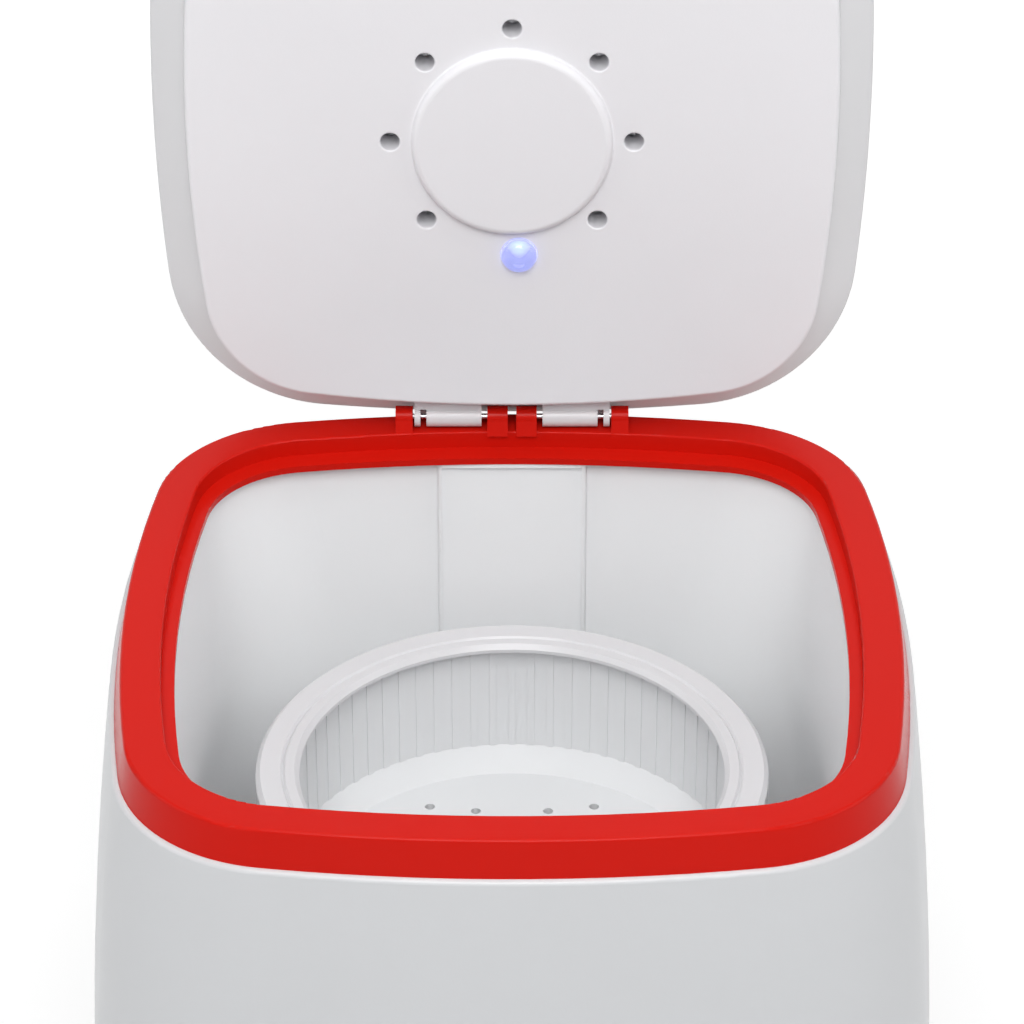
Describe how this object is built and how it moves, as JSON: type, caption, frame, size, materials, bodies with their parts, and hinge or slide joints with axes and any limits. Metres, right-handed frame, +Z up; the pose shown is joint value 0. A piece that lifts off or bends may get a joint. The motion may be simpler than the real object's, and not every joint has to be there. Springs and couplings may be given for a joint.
{
  "type": "washing machine",
  "caption": "Compact top-loading washing machine: barrel-sided casing, red rim, hinged lid with a lamp, lift-out spin basket over a belt-driven pulsator, control knobs, rear drain spigot.",
  "frame": {"origin": "on the floor under the spin axis, between the four feet", "axes": "+Z up along the spin axis, -Y towards the front with the knobs, +X to the right seen from the front"},
  "size_m": [0.3624, 0.3977, 0.7773],
  "materials": {
    "casing_white": "satin moulded",
    "rim_red": "glossy moulded",
    "lid_white": "satin moulded",
    "panel_white": "fine satin",
    "tub_white": "glossy moulded",
    "basket_white": "glossy moulded",
    "base_grey": "moulded",
    "fascia_white": "glossy moulded",
    "knob_red": "glossy moulded",
    "unit_black": "moulded",
    "rubber_black": "matte",
    "hose_grey": "matte",
    "steel": "bright",
    "zinc": "zinc plated",
    "cast_alloy": "cast",
    "motor_paint": "satin",
    "core_steel": "laminated",
    "bush_brass": "sintered",
    "lens_clear": "clear",
    "holder_white": "moulded",
    "board_green": "lacquered",
    "diode_blue": "clear blue"
  },
  "bodies": {
    "cabinet": {"body_casing": "casing_white", "top_rim": "rim_red", "wash_tub": "tub_white", "overflow_cover": "tub_white", "drain_strainer": "tub_white", "base_pan": "base_grey", "drain_sump": "base_grey", "drain_spigot": "base_grey", "control_fascia": "fascia_white", "timer_unit": "unit_black", "selector_switch": "unit_black", "foot_front_left": "rubber_black", "foot_front_right": "rubber_black", "foot_rear_left": "rubber_black", "foot_rear_right": "rubber_black", "shaft_seal": "rubber_black", "drive_belt": "rubber_black", "rubber_mounts": "rubber_black", "cord_gland": "rubber_black", "drain_hose": "hose_grey", "base_screws": "steel", "foot_screws": "steel", "hinge_pin_right": "steel", "hinge_pin_left": "steel", "housing_screws": "steel", "upper_bearing": "steel", "lower_bearing": "steel", "motor_bolts": "steel", "hose_clamps": "steel", "motor_bracket": "zinc", "capacitor_clip": "zinc", "bearing_housing": "cast_alloy", "motor_cap": "cast_alloy", "capacitor": "cast_alloy", "motor_housing": "motor_paint", "stator_core": "core_steel", "motor_bushes": "bush_brass"},
    "lid": {"lid_shell": "lid_white", "lid_panel": "panel_white", "lid_screws": "steel", "lamp_lens": "lens_clear", "lamp_holder": "holder_white", "lamp_board": "board_green", "lamp_diode": "diode_blue"},
    "drive": {"pulsator": "basket_white", "pulsator_screw": "steel", "drive_shaft": "steel", "drive_pulley": "cast_alloy", "pulley_nut": "steel"},
    "basket": {"spin_basket": "basket_white", "basket_ring": "basket_white"},
    "rotor": {"motor_rotor": "core_steel", "motor_shaft": "steel", "motor_pulley": "cast_alloy"},
    "timer": {"timer_knob": "knob_red", "timer_spindle": "steel"},
    "selector": {"selector_knob": "knob_red", "selector_spindle": "steel"}
  },
  "joints": [
    {"name": "lid_hinge", "type": "hinge", "parent": "cabinet", "child": "lid", "pos_m": [0, 0.1486, 0.4752], "axis": [1, 0, 0], "range_deg": [0, 92]},
    {"name": "drive_spin", "type": "hinge", "parent": "cabinet", "child": "drive", "pos_m": [0, 0, 0.156], "axis": [0, 0, 1], "continuous": true},
    {"name": "basket_lift", "type": "slide", "parent": "drive", "child": "basket", "axis": [0, 0, 1], "range_m": [0, 0.06]},
    {"name": "motor_spin", "type": "hinge", "parent": "cabinet", "child": "rotor", "pos_m": [0.096, 0, 0.156], "axis": [0, 0, 1], "continuous": true},
    {"name": "timer_turn", "type": "hinge", "parent": "cabinet", "child": "timer", "pos_m": [-0.052, -0.1827, 0.19], "axis": [0, 1, 0], "range_deg": [0, 300]},
    {"name": "selector_turn", "type": "hinge", "parent": "cabinet", "child": "selector", "pos_m": [0.052, -0.1827, 0.19], "axis": [0, 1, 0], "range_deg": [-45, 45]}
  ],
  "couplings": [
    {"joint": "motor_spin", "follows": "drive_spin", "ratio": 3.4468}
  ]
}
